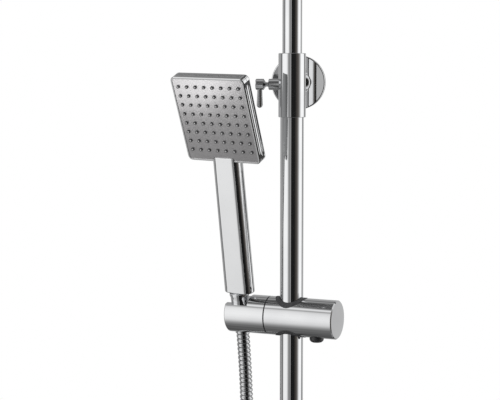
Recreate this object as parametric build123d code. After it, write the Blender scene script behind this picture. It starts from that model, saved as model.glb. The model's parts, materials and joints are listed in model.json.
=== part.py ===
from build123d import *
import math
import os

# Rainfall shower column. Millimetres, +Z up, the wall is the plane Y = 0 and the room is at -Y.
# The origin is the centre of the wall rosette, on the wall.

# Fits and clearances
SLIP = 0.05          # radial gap of a running fit
PRESS = 0.02         # radial gap of a fixed joint
CLEAR = 0.35         # radial gap where two moving pieces must never touch
OVERCUT = 1.0        # how far a cut runs past the face it opens
LEVEL = 0.01         # how near two edges must be to count as one height

# Riser and telescopic pipe
WALL_OFFSET = 58.0
RISER_D = 24.0
RISER_WALL = 1.5
RISER_TOP = -12.0
RISER_BOTTOM = -600.0
PIPE_D = 20.0
PIPE_WALL = 1.5
PIPE_BOTTOM = -165.0

# Wall bracket
COLLAR_D = 28.0
COLLAR_TOP = 30.0
COLLAR_BOTTOM = -35.0
COLLAR_EDGE = 0.7
BUSH_LENGTH = 13.0
BUSH_WALL = 2.2
BUSH_RECESS = 0.4
ROSETTE_D = 57.0
ROSETTE_DEPTH = 8.0
ROSETTE_SKIN = 1.5
ROSETTE_EDGE = 1.2
STEM_D = 20.0
STEM_RING_D = 26.0
STEM_RING_LENGTH = 5.0
STEM_RING_CHAMFER = 0.8
BASE_D = 46.0
BASE_THICK = 5.0
HUB_D = 13.0
HUB_REACH = 27.0
WALL_HOLE_D = 5.0
WALL_HOLE_SPACING = 32.0
GRUB_D = 4.0
GRUB_FROM_WALL = 20.0
GRUB_RECESS = 0.4
GRUB_SOCKET_FLOOR = 1.0
STEM_SCREW_D = 5.0
STEM_SCREW_HEAD_D = 9.2
STEM_SCREW_LENGTH = 14.0
STEM_SCREW_RIM = 0.4
STEM_SCREW_SINK = 2.5

# Telescope lock
LOCK_DROP = 1.6
LOCK_THREAD_D = 6.0
LOCK_BOSS_D = 11.4
LOCK_BOSS_END = 24.0
LOCK_BOSS_CHAMFER = 0.5
LOCK_NECK_D = 4.6
LOCK_NECK_LENGTH = 3.2
LOCK_NECK_SINK = 0.6
LOCK_KNOB_D = 11.4
LOCK_KNOB_LENGTH = 10.2
LOCK_KNOB_CONE = 2.2
LOCK_KNOB_EDGE = 0.9
LEVER_D = 4.8
LEVER_END_D = 6.2
LEVER_REACH = 24.0
PAD_LENGTH = 3.0

# Telescope seal
SEAL_LENGTH = 24.0
SEAL_SPIGOT = 15.0
SEAL_BORE_D = 12.0
ORING_D = 1.8
ORING_PITCH = 11.0

# Arm and ball joint
ARM_HEIGHT = 330.0
ARM_REACH = 330.0
ARM_BEND = 60.0
ARM_TIP_BEND = 45.0
ARM_TIP = 22.0
THREAD_HALF_INCH_D = 20.95
NIPPLE_LENGTH = 12.0
NIPPLE_BORE_D = 13.0
BALL_D = 18.0
BALL_SEAT_THICK = 1.9
BALL_SEAT_LOW = 4.5
BALL_SEAT_HIGH = 9.0
BALL_NUT_D = 28.0
BALL_NUT_BELOW = 7.0
BALL_NUT_GAP = 1.0
BALL_NUT_CHAMFER = 1.2
BALL_CUP_LOW = 1.2
BALL_DROP = 13.5
BALL_NECK_D = 7.6
BALL_FLANGE_D = 30.0
BALL_FLANGE_THICK = 3.0
BALL_FLANGE_DROP = 14.0
BALL_BORE_D = 4.6

# Rain head
RAIN_SIDE = 200.0
RAIN_CORNER = 9.0
RAIN_THICK = 9.5
RAIN_SKIN = 3.0
RAIN_PLATE_THICK = 2.0
RAIN_SEAL_WIDTH = 4.0
RAIN_SEAL_THICK = 1.5
RAIN_NOZZLE_ROWS = 9
RAIN_NOZZLE_PITCH = 20.0
RAIN_NOZZLE_D = 3.6
RAIN_NOZZLE_TIP_D = 2.6
RAIN_NOZZLE_HEIGHT = 1.8

# Slider on the riser
SLIDER_Z = -241.0
SLIDER_SWIVEL = -15.0
SLIDER_D = 40.0
SLIDER_LEFT = -23.0
SLIDER_RIGHT = 49.0
SEAM = 1.4
FRICTION_INSET = 1.0
GASKET_D = 33.0
GASKET_FLOOR = 9.0
GASKET_PROUD = 0.5
LINER_WALL = 1.9
LINER_SLIT = 2.0
CAP_THICK = 1.8
CAP_CHAMFER = 1.0
CAP_SPIGOT = 4.0
BRAKE_BORE_D = 15.0
SHOE_LENGTH = 8.0
TAIL_THICK = 5.0
TAIL_TOP = 5.6
TAIL_BOTTOM = -3.2
TAIL_LENGTH = 14.0
SPRING_SEAT_D = 11.0
SPRING_SEAT_THICK = 2.0
SPRING_D = 8.4
SPRING_WIRE_D = 0.9
SPRING_TURNS = 4
BUTTON_X = 28.0
BUTTON_D = 14.8
BUTTON_PROUD = 4.6
BUTTON_EDGE = 3.7
BUTTON_TOP = -12.0
BUTTON_TRAVEL = 3.0
BRAKE_TRAVEL = 1.0
PIN_D = 2.5
PRONG_WIDTH = 2.0
PRONG_DEPTH = 5.0
PRONG_TOP = 2.2
PRONG_ROOT = 1.0

# Handset holder
HOLDER_X = -57.0
HOLDER_LEFT = -68.4
HOLDER_FLAT = 14.0
HOLDER_FLAT_RIGHT = -43.4
HOLDER_EDGE = 1.6
HOLDER_TILT = 12.0
PIVOT_D = 16.0
PIVOT_LENGTH = 10.0
PIVOT_SCREW_D = 5.0
PIVOT_HEAD_D = 9.2
PIVOT_HEAD = 2.9
PIVOT_WASHER = 0.5
PIVOT_SOCKET_D = 4.0
PIVOT_SOCKET_FLOOR = 0.6

# Hose and its end nuts
HOSE_D = 14.0
HOSE_BORE_D = 9.0
HOSE_GROOVE = 0.7
HOSE_RIBS = 190
HOSE_TOP = 8.0
HOSE_STRAIGHT = 85.0
HOSE_SOFTEST_BEND = 900.0
HOSE_BEND_SHARE = 0.45   # how much of the shorter leg a bend may take
CONE_TOP_D = 19.4
CONE_LOW_D = 15.7
CONE_TOP = 20.0
CONE_LOW = -21.0
CONE_FLANGE_D = 20.8
CONE_FLANGE_THICK = 3.4
CONE_FLANGE_EDGE = 0.6
CONE_THREAD_DEPTH = 10.0
THREAD_THREE_EIGHTHS_D = 16.66
WASHER_THICK = 2.0
WASHER_GAP = 0.3
HOSE_NUT_D = 25.0
HOSE_NUT_LENGTH = 19.0
HOSE_NUT_CONE = 5.0
LOOP_RADIUS = 80.0
LOOP_CENTRE_X = -12.0
LOOP_CENTRE_Z = -920.0
LOOP_FRONT = 86.0
LOOP_CORNER = 45.0       # the loop is drawn as half an octagon with rounded corners
# One rib of the hose: share of the pitch, and share of the groove's depth cut there
RIB_PROFILE = ((0.05, 1), (0.3, 0), (0.75, 0), (0.98, 1))
# Shares of the way down, to the left and to the front, from the cone nut to the loop
HOSE_DESCENT = ((0.18, 0.05, -0.08), (0.42, 0.2, 0.12), (0.64, 0.55, 0.46), (0.83, 0.88, 0.8))
# Shares of the way up, to the outlet and to the back, from the loop to the outlet
HOSE_ASCENT = ((0.4, 0.14, 0.5), (0.74, 1, 1))

# Handset, in a frame whose Z is the cone axis and whose origin is on the slider axis
HANDSET_SPIN = -7.0
HANDLE_W = 33.0
HANDLE_TOP_W = 31.6
HANDLE_FRONT = 7.4
HANDLE_BACK = 10.0
HANDLE_EDGE = 8.0
HANDLE_END_EDGE = 1.0
HANDLE_BOTTOM = 23.7
HANDLE_NOSE_TOP = 170.3
HANDLE_TOP = 182.0
WATERWAY_D = 8.4
SPIGOT_D = 12.0
SPIGOT_BORE_D = 8.0
SPIGOT_TOP = 42.0
HEAD_CENTRE_Z = 212.4
HEAD_CENTRE_Y = -16.2
HEAD_TILT = 12.4
HEAD_HALF_W = 43.0
HEAD_UP = 45.5
HEAD_DOWN = 47.9
HEAD_CORNER = 5.0
HEAD_THICK = 12.5
HEAD_BACK_EDGE = 1.5
HEAD_BEZEL = 2.0
HEAD_BEZEL_CHAMFER = 0.8
HEAD_PARTING = 6.0
HEAD_PARTING_WIDTH = 0.8
HEAD_PARTING_DEPTH = 0.7
HEAD_CAVITY = 7.0
PLATE_RECESS = 0.5
PLATE_THICK = 2.5
NOZZLE_ROWS = 8
NOZZLE_PITCH = 10.0
NOZZLE_D = 3.4
NOZZLE_TIP_D = 2.4
NOZZLE_HEIGHT = 1.6

# Diverter at the foot of the riser
DIV_TOP = -586.0
DIV_BOTTOM = -650.0
DIV_D = 34.0
DIV_CHAMFER = 2.0
RISER_NUT_D = 33.0
RISER_NUT_LENGTH = 20.0
SEAL_RING_D = 2.4
SEAL_RING_UP = 5.0
WATER_D = 15.0
VALVE_Z = -622.0
VALVE_BOSS_D = 29.0
VALVE_BOSS_END = 33.0
CARTRIDGE_D = 20.0
CARTRIDGE_NUT_D = 27.0
CARTRIDGE_NUT_THICK = 4.0
CARTRIDGE_NUT_CHAMFER = 1.0
SPINDLE_D = 8.0
SPINDLE_START = 11.5
KNOB_D = 30.0
KNOB_START = 38.5
KNOB_LENGTH = 22.0
KNOB_EDGE = 1.5
KNOB_LEVER_D = 5.2
KNOB_LEVER_REACH = 36.0
OUTLET_Z = -622.0
OUTLET_X = 46.0
OUTLET_D = 22.0
OUTLET_LEG = 24.0
OUTLET_BORE_D = 12.0
OUTLET_BOSS_END = 26.0
OUTLET_THREAD = 11.0
TAIL_PIPE_D = 18.0
TAIL_PIPE_BORE_D = 12.0
TAIL_FLANGE_D = 24.6
TAIL_FLANGE_THICK = 3.0
TAIL_PIPE_LENGTH = 14.0
UNION_D = 34.0
UNION_LIP = 6.0
UNION_LENGTH = 27.0
THREAD_THREE_QUARTER_D = 26.44
UNION_WASHER_THICK = 2.0
UNION_WASHER_BORE_D = 14.0
UNION_RELIEF = 1.0

MIN = (Align.CENTER, Align.CENTER, Align.MIN)
COLUMN = Pos(0, -WALL_OFFSET, 0)
OUT = Rot(90, 0, 0)          # turns +Z away from the wall, along -Y
TO_RIGHT = Rot(0, 90, 0)     # turns +Z along +X
TO_LEFT = Rot(0, -90, 0)     # turns +Z along -X
SLIDER = COLUMN * Pos(0, 0, SLIDER_Z) * Rot(0, 0, SLIDER_SWIVEL)
HOLDER = SLIDER * Rot(HOLDER_TILT, 0, 0)
CONE_AXIS = HOLDER * Pos(HOLDER_X, 0, 0)
HANDSET = CONE_AXIS * Rot(0, 0, HANDSET_SPIN)


def rod(diameter, low, high):
    return Pos(0, 0, low) * Cylinder(diameter / 2, high - low, align=MIN)


def ring(outer, inner, low, high):
    return rod(outer, low, high) - rod(inner, low, high)


def taper(low_d, high_d, low, high):
    return Pos(0, 0, low) * Cone(low_d / 2, high_d / 2, high - low, align=MIN)


def block(x, y, z):
    return Pos((x[0] + x[1]) / 2, (y[0] + y[1]) / 2, (z[0] + z[1]) / 2) * Box(
        x[1] - x[0], y[1] - y[0], z[1] - z[0]
    )


def rim(shape, height):
    circles = shape.edges().filter_by(GeomType.CIRCLE)
    return circles.filter_by_position(Axis.Z, height - LEVEL, height + LEVEL)


def outer_rim(shape, height):
    return rim(shape, height).sort_by(SortBy.RADIUS)[-1]


def hexagon(across_flats, low, high):
    side = RegularPolygon(across_flats / 2, 6, major_radius=False)
    return Pos(0, 0, low) * extrude(side, high - low)


def wall_bracket():
    face = ROSETTE_DEPTH
    rosette = rod(ROSETTE_D, 0, face)
    rosette = fillet(outer_rim(rosette, face), ROSETTE_EDGE)
    rosette -= rod(ROSETTE_D - 2 * ROSETTE_SKIN, 0, face - ROSETTE_SKIN)
    rosette -= rod(STEM_D + 2 * PRESS, 0, face)
    base = rod(BASE_D, 0, BASE_THICK) + rod(HUB_D, BASE_THICK, HUB_REACH)
    for side in (-1, 1):
        base -= Pos(side * WALL_HOLE_SPACING / 2, 0, 0) * rod(WALL_HOLE_D, 0, BASE_THICK)
    grub_tip = HUB_D / 2 + PRESS
    grub_hole = Pos(0, 0, GRUB_FROM_WALL) * Rot(90, 0, 0) * rod(GRUB_D + 2 * PRESS, 0, STEM_D)
    grub = rod(GRUB_D, grub_tip, STEM_D / 2 - GRUB_RECESS)
    grub -= hexagon(GRUB_D / 2, grub_tip + GRUB_SOCKET_FLOOR, STEM_D)
    grub = Pos(0, 0, GRUB_FROM_WALL) * Rot(90, 0, 0) * grub
    stem = rod(STEM_D, BASE_THICK + PRESS, WALL_OFFSET)
    stem -= rod(HUB_D + 2 * PRESS, 0, HUB_REACH + CLEAR) + grub_hole
    stem -= Pos(0, 0, WALL_OFFSET) * Rot(90, 0, 0) * rod(COLLAR_D + 2 * PRESS, -STEM_D, STEM_D)
    screw_from = WALL_OFFSET - COLLAR_D / 2
    stem -= rod(STEM_SCREW_D + 2 * PRESS, screw_from - STEM_SCREW_LENGTH, screw_from + OVERCUT)
    collar_ring = ring(STEM_RING_D, STEM_D + 2 * PRESS, face + PRESS, face + STEM_RING_LENGTH)
    collar_ring = chamfer(outer_rim(collar_ring, face + STEM_RING_LENGTH), STEM_RING_CHAMFER)
    return {
        "wall_rosette": OUT * rosette,
        "bracket_base": OUT * base,
        "bracket_stem": OUT * stem,
        "stem_ring": OUT * collar_ring,
        "stem_grub_screw": OUT * grub,
    }


def stem_screw_blank(grow):
    # The screw lies on the column's Y axis; its head sinks into the back of the collar's bore.
    inner = PIPE_D / 2 + 2 * CLEAR
    sink = (STEM_SCREW_HEAD_D - STEM_SCREW_D) / 2
    head_d = STEM_SCREW_HEAD_D + 2 * grow
    shank_d = STEM_SCREW_D + 2 * grow
    seat = inner + STEM_SCREW_RIM
    head = rod(head_d, inner - STEM_SCREW_SINK * (grow > 0), seat)
    cone = taper(head_d, shank_d, seat, seat + sink)
    shank = rod(shank_d, seat, COLLAR_D / 2 + STEM_SCREW_LENGTH - OVERCUT)
    return Rot(-90, 0, 0) * (head + cone + shank)


def collar():
    bush_floor = COLLAR_TOP - BUSH_LENGTH
    bush_d = PIPE_D + 2 * BUSH_WALL
    sleeve = rod(COLLAR_D, COLLAR_BOTTOM, COLLAR_TOP)
    sleeve = fillet([outer_rim(sleeve, COLLAR_TOP), outer_rim(sleeve, COLLAR_BOTTOM)], COLLAR_EDGE)
    sleeve -= rod(RISER_D + 2 * PRESS, COLLAR_BOTTOM, RISER_TOP)
    sleeve -= rod(PIPE_D + 4 * CLEAR, RISER_TOP, bush_floor)
    sleeve -= rod(bush_d + 2 * PRESS, bush_floor, COLLAR_TOP)
    lock = Pos(0, 0, -LOCK_DROP) * TO_LEFT
    sleeve -= lock * rod(LOCK_THREAD_D + 2 * SLIP, PIPE_D / 2, COLLAR_D)
    sleeve -= stem_screw_blank(PRESS)
    bush = ring(bush_d, PIPE_D + 2 * SLIP, bush_floor + PRESS, COLLAR_TOP - BUSH_RECESS)
    boss = ring(LOCK_BOSS_D, LOCK_THREAD_D + 2 * SLIP, COLLAR_D / 4, LOCK_BOSS_END)
    boss = chamfer(outer_rim(boss, LOCK_BOSS_END), LOCK_BOSS_CHAMFER)
    boss = lock * boss - rod(COLLAR_D + 2 * PRESS, COLLAR_BOTTOM, COLLAR_TOP)
    parts = {
        "bracket_collar": sleeve,
        "collar_bush": bush,
        "lock_boss": boss,
        "stem_screw": stem_screw_blank(0),
    }
    return {name: COLUMN * shape for name, shape in parts.items()}


def telescope_lock():
    lock = Pos(0, 0, -LOCK_DROP) * TO_LEFT
    pad_out = PIPE_D / 2 + PAD_LENGTH
    pad = lock * rod(LOCK_THREAD_D, PIPE_D / 4, pad_out)
    pad -= rod(PIPE_D + 2 * SLIP, -LOCK_DROP - LOCK_THREAD_D, LOCK_THREAD_D)
    neck_end = LOCK_BOSS_END + LOCK_NECK_LENGTH
    cone_end = neck_end + LOCK_KNOB_CONE
    knob_end = neck_end + LOCK_KNOB_LENGTH
    knob = rod(LOCK_KNOB_D, cone_end, knob_end)
    knob = fillet(outer_rim(knob, knob_end), LOCK_KNOB_EDGE)
    neck_start = LOCK_BOSS_END - LOCK_NECK_SINK
    screw = rod(LOCK_THREAD_D, pad_out + SLIP, neck_start)
    screw += rod(LOCK_NECK_D, neck_start, neck_end)
    screw += taper(LOCK_NECK_D, LOCK_KNOB_D, neck_end, cone_end) + knob
    lever_at = cone_end + (knob_end - cone_end) / 2
    lever_in = LOCK_KNOB_D / 4
    cross = Pos(-lever_at, 0, -LOCK_DROP) * Rot(180, 0, 0)
    tip = LEVER_REACH - LEVER_END_D / 2
    lever = taper(LEVER_D, LEVER_END_D, lever_in, tip) + Pos(0, 0, tip) * Sphere(LEVER_END_D / 2)
    grip = lock * screw - cross * taper(LEVER_D + 2 * PRESS, LEVER_END_D + 2 * PRESS, lever_in, tip)
    return {
        "lock_pad": COLUMN * pad,
        "lock_screw": COLUMN * grip,
        "lock_lever": COLUMN * cross * lever,
    }


def riser():
    return {"riser_tube": COLUMN * ring(RISER_D, RISER_D - 2 * RISER_WALL, RISER_BOTTOM, RISER_TOP)}


def telescope():
    bore_d = RISER_D - 2 * RISER_WALL
    pipe_bore = PIPE_D - 2 * PIPE_WALL
    flange_d = bore_d - 2 * SLIP
    low = PIPE_BOTTOM - SEAL_LENGTH
    seal = rod(flange_d, low, PIPE_BOTTOM - SLIP)
    seal += rod(pipe_bore - 2 * SLIP, PIPE_BOTTOM - SLIP, PIPE_BOTTOM + SEAL_SPIGOT)
    seal -= rod(SEAL_BORE_D, low, PIPE_BOTTOM + SEAL_SPIGOT)
    groove_d = flange_d - 2 * ORING_D
    middle = (low + PIPE_BOTTOM) / 2
    rings = []
    for side in (-1, 1):
        z = middle + side * ORING_PITCH / 2
        seal -= ring(flange_d + OVERCUT, groove_d, z - ORING_D / 2 - PRESS, z + ORING_D / 2 + PRESS)
        rings.append(Pos(0, 0, z) * Torus((flange_d - ORING_D) / 2, ORING_D / 2 - PRESS))
    return {"seal_bush": COLUMN * seal, "seal_orings": COLUMN * Compound(rings)}


def arm_path():
    points = [
        (0, 0, PIPE_BOTTOM),
        (0, 0, ARM_HEIGHT),
        (0, -ARM_REACH, ARM_HEIGHT),
        (0, -ARM_REACH, ARM_HEIGHT - ARM_TIP_BEND - ARM_TIP),
    ]
    return FilletPolyline(*points, radius=[ARM_BEND, ARM_TIP_BEND])


def arm():
    path = arm_path()
    start = Plane((0, 0, PIPE_BOTTOM))
    tube = sweep(start * Circle(PIPE_D / 2), path=path)
    tube -= sweep(start * Circle(PIPE_D / 2 - PIPE_WALL), path=path)
    tip = ARM_HEIGHT - ARM_TIP_BEND - ARM_TIP
    low = tip - NIPPLE_LENGTH
    nipple = rod(THREAD_HALF_INCH_D, low, tip - PRESS)
    nipple += rod(PIPE_D - 2 * PIPE_WALL - 2 * SLIP, tip - PRESS, tip + NIPPLE_LENGTH)
    nipple -= rod(NIPPLE_BORE_D, low, tip + NIPPLE_LENGTH)
    ball_z = low - BALL_DROP
    seat_d = BALL_D + 2 * SLIP + 2 * BALL_SEAT_THICK
    nut_low = ball_z - BALL_NUT_BELOW
    nut_top = tip - BALL_NUT_GAP
    nut = rod(BALL_NUT_D, nut_low, nut_top)
    nut = chamfer([outer_rim(nut, nut_low), outer_rim(nut, nut_top)], BALL_NUT_CHAMFER)
    nut -= rod(THREAD_HALF_INCH_D + 2 * PRESS, ball_z + BALL_D / 2, tip)
    nut -= Pos(0, 0, ball_z) * Sphere(BALL_D / 2 + CLEAR)
    cup = Pos(0, 0, ball_z) * Sphere(seat_d / 2 + SLIP)
    nut -= cup & rod(BALL_NUT_D, ball_z + BALL_CUP_LOW, tip)
    out = Pos(0, -ARM_REACH, 0)
    seat = Pos(0, 0, ball_z) * (Sphere(seat_d / 2) - Sphere(BALL_D / 2 + SLIP))
    seat = seat & rod(BALL_NUT_D, ball_z + BALL_SEAT_LOW, ball_z + BALL_SEAT_HIGH)
    parts = {"shower_arm": tube, "arm_nipple": out * nipple, "ball_nut": out * nut, "ball_seat": out * seat}
    return {name: COLUMN * shape for name, shape in parts.items()}


def square(side, corner, low, high):
    return Pos(0, 0, low) * extrude(RectangleRounded(side, side, corner), high - low)


def rain_head():
    ball_z = ARM_HEIGHT - ARM_TIP_BEND - ARM_TIP - NIPPLE_LENGTH - BALL_DROP
    top = ball_z - BALL_FLANGE_DROP - BALL_FLANGE_THICK
    low = top - RAIN_THICK
    ball = Pos(0, 0, ball_z) * Sphere(BALL_D / 2)
    ball += rod(BALL_NECK_D, top + BALL_FLANGE_THICK / 2, ball_z)
    ball += rod(BALL_FLANGE_D, top + PRESS, top + BALL_FLANGE_THICK)
    ball -= rod(BALL_BORE_D, top, ball_z + BALL_D)
    shell = square(RAIN_SIDE, RAIN_CORNER, low, top)
    shell = fillet(shell.faces().sort_by(Axis.Z)[-1].edges(), RAIN_SKIN / 2)
    inner = RAIN_SIDE - 2 * RAIN_SKIN
    inner_corner = RAIN_CORNER - RAIN_SKIN
    shell -= square(inner, inner_corner, low, top - RAIN_SKIN)
    shell -= rod(BALL_BORE_D, low, top)
    plate_top = low + RAIN_PLATE_THICK
    plate = square(inner - 2 * SLIP, inner_corner, low, plate_top)
    seal_side = inner - 4 * SLIP
    seal = square(seal_side, inner_corner, plate_top + PRESS, plate_top + RAIN_SEAL_THICK)
    seal -= square(seal_side - 2 * RAIN_SEAL_WIDTH, inner_corner, plate_top, top)
    nub = taper(RAIN_NOZZLE_TIP_D, RAIN_NOZZLE_D, low - RAIN_NOZZLE_HEIGHT, low)
    nubs = [
        spot * nub
        for spot in GridLocations(RAIN_NOZZLE_PITCH, RAIN_NOZZLE_PITCH, RAIN_NOZZLE_ROWS, RAIN_NOZZLE_ROWS)
    ]
    parts = {
        "rain_ball": ball,
        "rain_shell": shell,
        "rain_plate": plate,
        "rain_seal": seal,
        "rain_nozzles": Compound(nubs),
    }
    return {name: COLUMN * Pos(0, -ARM_REACH, 0) * shape for name, shape in parts.items()}


def slider():
    barrel = TO_RIGHT * rod(SLIDER_D, SLIDER_LEFT, SLIDER_RIGHT)
    bore_d = RISER_D + 2 * SLIP
    liner_d = bore_d + 2 * LINER_WALL
    gasket_high = SLIDER_D
    seats = rod(GASKET_D + 2 * PRESS, GASKET_FLOOR, gasket_high)
    seats += rod(GASKET_D + 2 * PRESS, -gasket_high, -GASKET_FLOOR)
    body = barrel + TO_RIGHT * rod(PIVOT_D, SLIDER_LEFT - PIVOT_LENGTH, SLIDER_LEFT)
    body -= seats + rod(liner_d + 2 * SLIP, -SLIDER_D, SLIDER_D)
    body -= TO_RIGHT * rod(BRAKE_BORE_D, 0, SLIDER_RIGHT)
    body -= Pos(BUTTON_X, 0, 0) * rod(BUTTON_D + 2 * SLIP, -SLIDER_D, -BRAKE_BORE_D / 4)
    body -= TO_RIGHT * rod(PIVOT_SCREW_D + 2 * PRESS, SLIDER_LEFT - PIVOT_LENGTH, SLIDER_LEFT + OVERCUT)
    skin = TO_RIGHT * rod(SLIDER_D + 2 * GASKET_PROUD, SLIDER_LEFT, SLIDER_RIGHT)
    gasket = ring(GASKET_D, RISER_D + 2 * CLEAR, GASKET_FLOOR + PRESS, gasket_high) & skin
    liner_half = GASKET_FLOOR - CLEAR
    liner = ring(liner_d, bore_d, -liner_half, liner_half)
    liner -= block((-liner_d, 0), (-LINER_SLIT / 2, LINER_SLIT / 2), (-SLIDER_D, SLIDER_D))
    cap = rod(SLIDER_D, SLIDER_RIGHT + PRESS, SLIDER_RIGHT + CAP_THICK)
    cap = chamfer(outer_rim(cap, SLIDER_RIGHT + CAP_THICK), CAP_CHAMFER)
    cap += rod(BRAKE_BORE_D - 2 * PRESS, SLIDER_RIGHT - CAP_SPIGOT, SLIDER_RIGHT + CAP_THICK / 2)
    head_x = HOLDER_X + taper_radius(0) + CLEAR + PIVOT_HEAD
    washer_x = head_x + PIVOT_WASHER
    screw = rod(PIVOT_HEAD_D, head_x - PIVOT_HEAD, head_x)
    screw += rod(PIVOT_SCREW_D, head_x, SLIDER_LEFT)
    screw -= hexagon(PIVOT_SOCKET_D, head_x - PIVOT_HEAD, head_x - PIVOT_SOCKET_FLOOR)
    washer = ring(PIVOT_HEAD_D, PIVOT_SCREW_D + 2 * CLEAR, head_x + PRESS, washer_x)
    friction_d = SLIDER_D - 2 * FRICTION_INSET
    friction = ring(friction_d, PIVOT_D + 2 * CLEAR, SLIDER_LEFT - SEAM + SLIP, SLIDER_LEFT - SLIP)
    parts = {
        "slider_liner": liner,
        "slider_body": body,
        "upper_gasket": gasket,
        "lower_gasket": Rot(180, 0, 0) * gasket,
        "end_cap": TO_RIGHT * cap,
        "pivot_screw": TO_RIGHT * screw,
        "pivot_washer": TO_RIGHT * washer,
        "friction_ring": TO_RIGHT * friction,
    }
    parts.update(brake(liner_d))
    return {name: SLIDER * shape for name, shape in parts.items()}


def brake(liner_d):
    shoe_end = liner_d / 2 + SHOE_LENGTH
    tail_end = shoe_end + TAIL_LENGTH
    seat_end = tail_end + SPRING_SEAT_THICK
    shoe = TO_RIGHT * rod(BRAKE_BORE_D - 2 * SLIP, 0, shoe_end)
    shoe -= rod(liner_d + 2 * SLIP, -SLIDER_D, SLIDER_D)
    tail = block((shoe_end, tail_end), (-TAIL_THICK / 2, TAIL_THICK / 2), (TAIL_BOTTOM, TAIL_TOP))
    travel = math.hypot(BUTTON_TRAVEL, BRAKE_TRAVEL)
    lean = math.degrees(math.atan2(BUTTON_TRAVEL, -BRAKE_TRAVEL))
    slot = SlotCenterToCenter(travel, PIN_D + 2 * SLIP, rotation=lean)
    slot_at = Pos(BUTTON_X - BRAKE_TRAVEL / 2, TAIL_THICK, BUTTON_TRAVEL / 2) * Rot(90, 0, 0)
    tail -= slot_at * extrude(slot, 2 * TAIL_THICK)
    shoe += tail + TO_RIGHT * rod(SPRING_SEAT_D, tail_end, seat_end)
    prong_in = TAIL_THICK / 2 + CLEAR
    prong_out = prong_in + PRONG_WIDTH
    foot = -SLIDER_D / 2 - BUTTON_PROUD
    dome = rod(BUTTON_D, foot, BUTTON_TOP)
    dome = fillet(outer_rim(dome, foot), BUTTON_EDGE)
    button = Pos(BUTTON_X, 0, 0) * dome
    across = Pos(BUTTON_X, 0, 0) * Rot(90, 0, 0)
    for side in (-1, 1):
        near, far = sorted((side * prong_in, side * prong_out))
        depth = (BUTTON_X - PRONG_DEPTH / 2, BUTTON_X + PRONG_DEPTH / 2)
        button += block(depth, (near, far), (BUTTON_TOP - PRONG_ROOT, PRONG_TOP))
    button -= across * rod(PIN_D + 2 * PRESS, -prong_out, prong_out)
    pin = across * rod(PIN_D, -prong_out, prong_out)
    spring_from = seat_end + SPRING_WIRE_D / 2 + PRESS
    spring_to = SLIDER_RIGHT - CAP_SPIGOT - SPRING_WIRE_D / 2 - PRESS
    coil_r = (SPRING_D - SPRING_WIRE_D) / 2
    pitch = (spring_to - spring_from) / SPRING_TURNS
    helix = Helix(pitch, spring_to - spring_from, coil_r)
    print("spring gap between turns", round(pitch - SPRING_WIRE_D, 2))
    section = Plane(helix @ 0, x_dir=(1, 0, 0), z_dir=helix % 0) * Circle(SPRING_WIRE_D / 2)
    spring = TO_RIGHT * Pos(0, 0, spring_from) * sweep(section, path=helix, is_frenet=True)
    return {"brake_shoe": shoe, "release_button": button, "button_pin": pin, "brake_spring": spring}


def taper_radius(z):
    share = (z - CONE_LOW) / (CONE_TOP - CONE_LOW)
    return (CONE_LOW_D + share * (CONE_TOP_D - CONE_LOW_D)) / 2


def holder():
    block_right = SLIDER_LEFT - SEAM
    jaw = rod(SLIDER_D, HOLDER_LEFT, block_right)
    jaw = TO_RIGHT * fillet(outer_rim(jaw, HOLDER_LEFT), HOLDER_EDGE)
    reach = SLIDER_D
    low_d = 2 * (taper_radius(-reach) + SLIP)
    high_d = 2 * (taper_radius(reach) + SLIP)
    socket = taper(low_d, high_d, -reach, reach)
    gap = HOSE_D / 2 + CLEAR
    slot = block((HOLDER_LEFT - HOLDER_X - OVERCUT, 0), (-gap, gap), (-reach, reach))
    jaw -= Pos(HOLDER_X, 0, 0) * (socket + slot)
    jaw -= block((HOLDER_LEFT - OVERCUT, HOLDER_FLAT_RIGHT), (-reach, reach), (HOLDER_FLAT, reach))
    head_x = HOLDER_X + taper_radius(0) + CLEAR + PIVOT_HEAD + PIVOT_WASHER + PRESS
    jaw -= TO_RIGHT * rod(PIVOT_HEAD_D + 2 * CLEAR, HOLDER_X, head_x)
    jaw -= TO_RIGHT * rod(PIVOT_SCREW_D + 2 * CLEAR, HOLDER_X, block_right)
    jaw -= TO_RIGHT * rod(PIVOT_D + 2 * SLIP, SLIDER_LEFT - PIVOT_LENGTH - CLEAR, block_right)
    return {"handset_holder": HOLDER * jaw}


def hose_cone():
    top = CONE_TOP + CONE_FLANGE_THICK
    nut = taper(CONE_LOW_D, CONE_TOP_D, CONE_LOW, CONE_TOP)
    flange = rod(CONE_FLANGE_D, CONE_TOP, top)
    nut += fillet([outer_rim(flange, CONE_TOP), outer_rim(flange, top)], CONE_FLANGE_EDGE)
    thread_floor = top - CONE_THREAD_DEPTH
    nut -= rod(THREAD_THREE_EIGHTHS_D + 2 * SLIP, thread_floor - WASHER_THICK, top)
    nut -= rod(HOSE_D + 2 * SLIP, CONE_LOW, HOSE_TOP + CLEAR)
    nut -= rod(HOSE_BORE_D, HOSE_TOP, top)
    washer_d = THREAD_THREE_EIGHTHS_D - 2 * WASHER_GAP
    washer = ring(washer_d, HOSE_BORE_D, thread_floor - WASHER_THICK + PRESS, thread_floor)
    return {"hose_cone_nut": CONE_AXIS * nut, "hose_top_washer": CONE_AXIS * washer}


def head_blank(inset, corner, front, back):
    # A rounded slab in the head's own frame, whose front plane is Y = 0.
    width = 2 * (HEAD_HALF_W - inset)
    height = HEAD_UP + HEAD_DOWN - 2 * inset
    outline = Pos(0, (HEAD_UP - HEAD_DOWN) / 2, 0) * RectangleRounded(width, height, corner)
    return Pos(0, back, 0) * Rot(90, 0, 0) * extrude(outline, back - front)


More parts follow.
